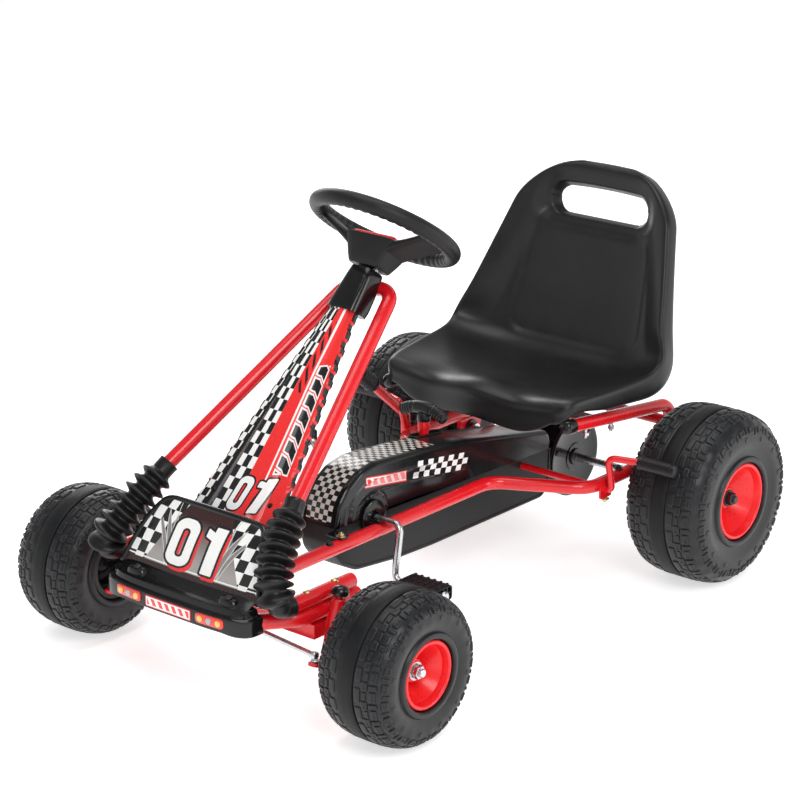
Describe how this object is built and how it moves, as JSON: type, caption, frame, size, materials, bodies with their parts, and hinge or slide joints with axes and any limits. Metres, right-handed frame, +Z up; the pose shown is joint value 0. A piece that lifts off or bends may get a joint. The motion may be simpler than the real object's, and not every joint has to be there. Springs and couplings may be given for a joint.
{
  "type": "pedal go kart",
  "caption": "Low pedal go kart for a child: tubular frame, knobbly tyres, chain drive in a case, tilted steering wheel and a moulded bucket seat.",
  "frame": {"origin": "on the ground, at the middle of the kart's length and width", "axes": "+Z up, -Y forwards (the way the driver faces), +X to the driver's left"},
  "size_m": [0.652, 0.9583, 0.6195],
  "materials": {
    "red_paint": "gloss",
    "black_gloss": "gloss",
    "black_plastic": "matte",
    "seat_plastic": "satin",
    "black_rubber": "matte",
    "tyre_rubber": "matte",
    "red_plastic": "gloss",
    "bright_steel": "plated",
    "dark_steel": "oiled",
    "printed_plastic": "printed graphics"
  },
  "bodies": {
    "frame": {"left_main_rail": "red_paint", "right_main_rail": "red_paint", "front_hoop": "red_paint", "steering_arch": "red_paint", "front_axle_beam": "red_paint", "left_kingpin_housing": "red_paint", "right_kingpin_housing": "red_paint", "left_seat_rail": "red_paint", "right_seat_rail": "red_paint", "seat_cross_beam": "red_paint", "rear_cross_tube": "red_paint", "left_axle_plate": "red_paint", "right_axle_plate": "red_paint", "left_axle_bearing": "dark_steel", "right_axle_bearing": "dark_steel", "chain": "dark_steel", "column_collar": "black_plastic", "case_lower_housing": "black_plastic", "case_rear_cover": "black_plastic", "seat": "seat_plastic", "bumper": "black_gloss", "case_upper_cover": "black_gloss", "left_boot": "black_rubber", "right_boot": "black_rubber", "column_panel": "printed_plastic", "nose_panel": "printed_plastic"},
    "steering": {"steering_wheel": "black_plastic", "wheel_badge": "red_plastic", "steering_column": "bright_steel"},
    "left_knuckle_set": {"left_knuckle": "red_paint", "left_kingpin_cap": "black_gloss", "front_left_hub_nut": "bright_steel"},
    "right_knuckle_set": {"right_knuckle": "red_paint", "right_kingpin_cap": "black_gloss", "front_right_hub_nut": "bright_steel"},
    "left_tie_rod_set": {"left_tie_rod": "bright_steel"},
    "right_tie_rod_set": {"right_tie_rod": "bright_steel"},
    "front_left_wheel": {"front_left_tyre": "tyre_rubber", "front_left_rim": "red_plastic"},
    "front_right_wheel": {"front_right_tyre": "tyre_rubber", "front_right_rim": "red_plastic"},
    "rear_drive": {"rear_axle": "bright_steel", "rear_sprocket": "dark_steel", "rear_left_tyre": "tyre_rubber", "rear_left_rim": "red_plastic", "rear_left_hub_nut": "dark_steel", "rear_right_hub_nut": "dark_steel"},
    "rear_right_wheel": {"rear_right_tyre": "tyre_rubber", "rear_right_rim": "red_plastic"},
    "crank_set": {"crank": "bright_steel", "front_sprocket": "dark_steel"},
    "left_pedal_set": {"left_pedal": "black_rubber"},
    "right_pedal_set": {"right_pedal": "black_rubber"},
    "hand_brake": {"brake_lever": "red_paint", "left_brake_sleeve": "black_rubber", "right_brake_sleeve": "black_rubber", "brake_grip": "black_rubber"},
    "selector": {"selector_stem": "red_paint", "selector_grip": "black_rubber"}
  },
  "joints": [
    {"name": "column_turn", "type": "hinge", "parent": "frame", "child": "steering", "pos_m": [0, -0.057, 0.553], "axis": [0, 0.5736, 0.8192], "range_deg": [-45, 45]},
    {"name": "left_knuckle_steer", "type": "hinge", "parent": "frame", "child": "left_knuckle_set", "pos_m": [0.173, -0.365, 0.101], "axis": [0, 0.2588, 0.9659], "range_deg": [-25, 25]},
    {"name": "right_knuckle_steer", "type": "hinge", "parent": "frame", "child": "right_knuckle_set", "pos_m": [-0.173, -0.365, 0.101], "axis": [0, 0.2588, 0.9659], "range_deg": [-25, 25]},
    {"name": "left_tie_rod_pivot", "type": "hinge", "parent": "left_knuckle_set", "child": "left_tie_rod_set", "pos_m": [0.18, -0.40098, 0.10194], "axis": [0, 0.2588, 0.9659], "range_deg": [-25, 25]},
    {"name": "right_tie_rod_pivot", "type": "hinge", "parent": "right_knuckle_set", "child": "right_tie_rod_set", "pos_m": [-0.18, -0.40098, 0.10194], "axis": [0, 0.2588, 0.9659], "range_deg": [-25, 25]},
    {"name": "front_left_wheel_spin", "type": "hinge", "parent": "left_knuckle_set", "child": "front_left_wheel", "pos_m": [0.27, -0.353, 0.101], "axis": [1, 0, 0], "continuous": true},
    {"name": "front_right_wheel_spin", "type": "hinge", "parent": "right_knuckle_set", "child": "front_right_wheel", "pos_m": [-0.27, -0.353, 0.101], "axis": [1, 0, 0], "continuous": true},
    {"name": "rear_axle_spin", "type": "hinge", "parent": "frame", "child": "rear_drive", "pos_m": [0, 0.353, 0.127], "axis": [1, 0, 0], "continuous": true},
    {"name": "rear_right_wheel_spin", "type": "hinge", "parent": "rear_drive", "child": "rear_right_wheel", "pos_m": [-0.262, 0.353, 0.127], "axis": [1, 0, 0], "continuous": true},
    {"name": "crank_turn", "type": "hinge", "parent": "frame", "child": "crank_set", "pos_m": [0, -0.116, 0.168], "axis": [1, 0, 0], "continuous": true},
    {"name": "left_pedal_spin", "type": "hinge", "parent": "crank_set", "child": "left_pedal_set", "pos_m": [0.13, -0.1282, 0.09096], "axis": [1, 0, 0], "continuous": true},
    {"name": "right_pedal_spin", "type": "hinge", "parent": "crank_set", "child": "right_pedal_set", "pos_m": [-0.13, -0.1038, 0.24504], "axis": [1, 0, 0], "continuous": true},
    {"name": "brake_pull", "type": "hinge", "parent": "frame", "child": "hand_brake", "pos_m": [0, 0.222, 0.148], "axis": [1, 0, 0], "range_deg": [-6.5, 12]},
    {"name": "selector_shift", "type": "hinge", "parent": "frame", "child": "selector", "pos_m": [-0.024, 0.06, 0.186], "axis": [1, 0, 0], "range_deg": [-12, 12]}
  ],
  "couplings": [
    {"joint": "left_knuckle_steer", "follows": "column_turn", "ratio": 0.55},
    {"joint": "right_knuckle_steer", "follows": "column_turn", "ratio": 0.55},
    {"joint": "left_tie_rod_pivot", "follows": "column_turn", "ratio": -0.55},
    {"joint": "right_tie_rod_pivot", "follows": "column_turn", "ratio": -0.55},
    {"joint": "crank_turn", "follows": "rear_axle_spin", "ratio": 0.53846}
  ]
}
